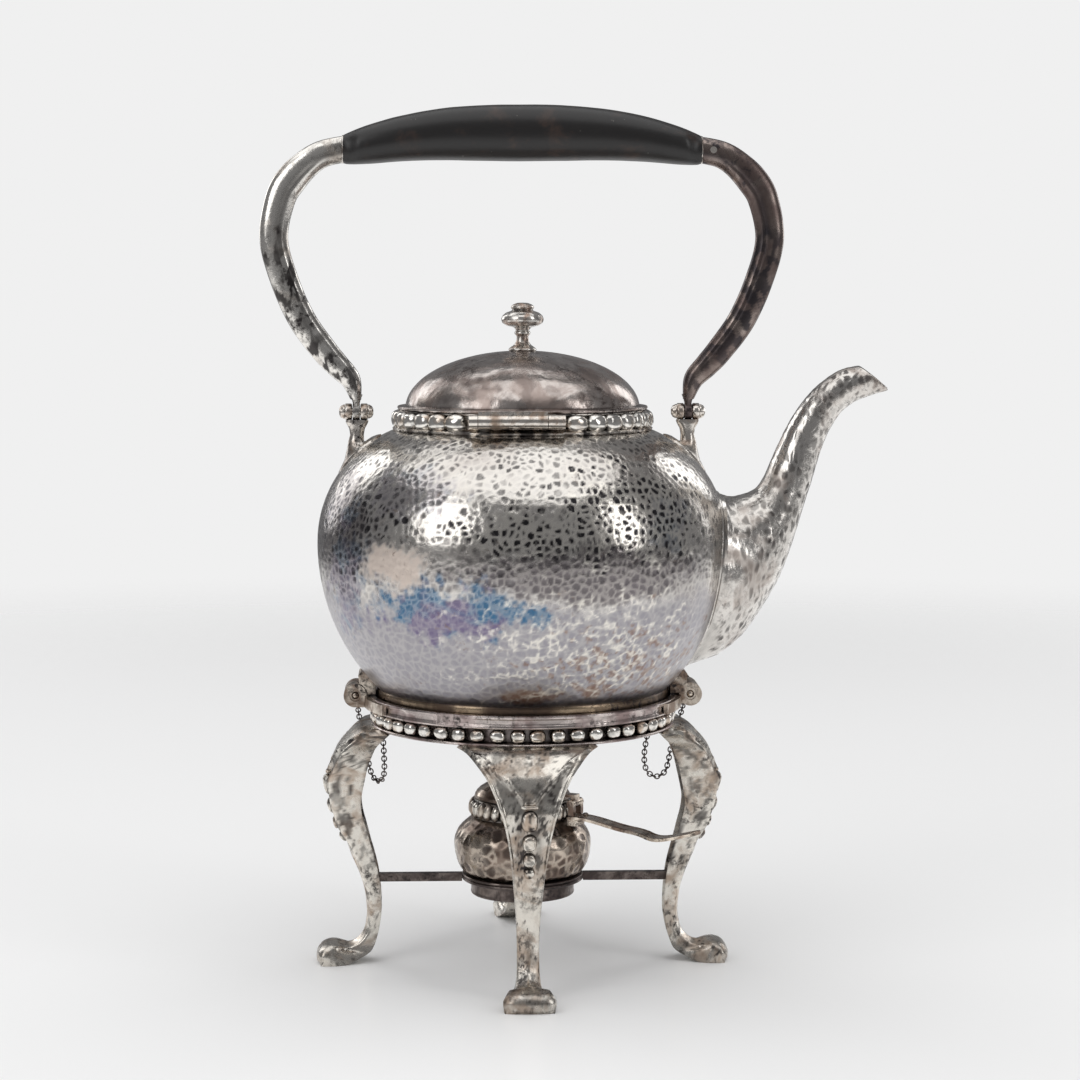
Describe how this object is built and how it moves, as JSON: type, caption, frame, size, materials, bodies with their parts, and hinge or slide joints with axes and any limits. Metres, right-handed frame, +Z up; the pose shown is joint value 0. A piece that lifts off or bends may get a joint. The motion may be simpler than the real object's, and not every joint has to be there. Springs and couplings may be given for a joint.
{
  "type": "spirit kettle on stand",
  "caption": "Hammered kettle with hinged lid, swing handle and gooseneck spout, tipping on loose pins over a spirit burner in a legged ring stand.",
  "frame": {"origin": "centre of the bounding box at floor level", "axes": "+X towards the spout, +Z up, -Y is the side of the lid's hinge"},
  "size_m": [0.2578, 0.1684, 0.35],
  "materials": {
    "hammered_silver": "hand hammered, bright with iridescent tarnish",
    "bright_silver": "polished, light tarnish",
    "leg_silver": "cast and chased, tarnish in the hollows",
    "tarnished_silver": "smooth with brown and pink tarnish",
    "dark_silver": "smooth, heavily tarnished",
    "worn_plate": "worn plating over yellow metal",
    "burner_bronze": "hammered, brown tarnish",
    "ebony": "black, soft sheen",
    "wick": "woven cotton"
  },
  "bodies": {
    "stand": {"stand_ring": "tarnished_silver", "ring_beads": "bright_silver", "leg_front": "leg_silver", "leg_back": "leg_silver", "leg_left": "leg_silver", "leg_right": "leg_silver", "cross_bars": "dark_silver", "burner_holder": "dark_silver", "stand_lug_left": "tarnished_silver", "stand_lug_right": "tarnished_silver", "chain_staples": "dark_silver", "chain_left": "dark_silver", "chain_right": "dark_silver"},
    "kettle": {"kettle_body": "hammered_silver", "kettle_foot": "bright_silver", "neck_collar": "bright_silver", "collar_beads": "bright_silver", "spout": "bright_silver", "kettle_lug_left": "tarnished_silver", "kettle_lug_right": "tarnished_silver", "handle_socket_left": "bright_silver", "handle_socket_right": "dark_silver", "handle_pivots": "bright_silver", "collar_knuckles": "worn_plate", "lid_hinge_pin": "worn_plate"},
    "lid": {"lid_dome": "tarnished_silver", "lid_bezel": "bright_silver", "lid_hinge_leaf": "bright_silver", "finial": "bright_silver", "finial_nut": "bright_silver"},
    "handle": {"handle_arm_left": "bright_silver", "handle_arm_right": "dark_silver", "grip": "ebony", "grip_rivets": "bright_silver"},
    "pin_left": {"pin_left": "worn_plate"},
    "pin_right": {"pin_right": "worn_plate"},
    "burner": {"burner_font": "burner_bronze", "burner_foot": "burner_bronze", "burner_beads": "burner_bronze", "wick_tube": "burner_bronze", "wick": "wick", "burner_strap": "worn_plate", "strap_rivets": "worn_plate", "snuffer_ears": "burner_bronze", "snuffer_pin": "burner_bronze"},
    "snuffer": {"snuffer_cap": "burner_bronze", "snuffer_lever": "burner_bronze", "snuffer_knob": "burner_bronze"}
  },
  "joints": [
    {"name": "kettle_tilt", "type": "hinge", "parent": "stand", "child": "kettle", "pos_m": [0.04675, 0, 0.1094], "axis": [0, 1, 0], "range_deg": [0, 55]},
    {"name": "lid_hinge", "type": "hinge", "parent": "kettle", "child": "lid", "pos_m": [-0.02495, -0.0527, 0.2225], "axis": [1, 0, 0], "range_deg": [0, 100]},
    {"name": "handle_swing", "type": "hinge", "parent": "kettle", "child": "handle", "pos_m": [-0.02145, 0, 0.2243], "axis": [-1, 0, 0], "range_deg": [-90, 90]},
    {"name": "left_pin_pull", "type": "slide", "parent": "stand", "child": "pin_left", "axis": [0, 1, 0], "range_m": [0, 0.02], "deforming": ["chain_left"]},
    {"name": "right_pin_pull", "type": "slide", "parent": "stand", "child": "pin_right", "axis": [0, 1, 0], "range_m": [0, 0.02], "deforming": ["chain_right"]},
    {"name": "burner_lift", "type": "slide", "parent": "stand", "child": "burner", "axis": [0, 0, 1], "range_m": [0, 0.012]},
    {"name": "snuffer_hinge", "type": "hinge", "parent": "burner", "child": "snuffer", "pos_m": [-0.00049, -0.0121, 0.0662], "axis": [0.5, 0.866, 0], "range_deg": [0, 60]}
  ]
}
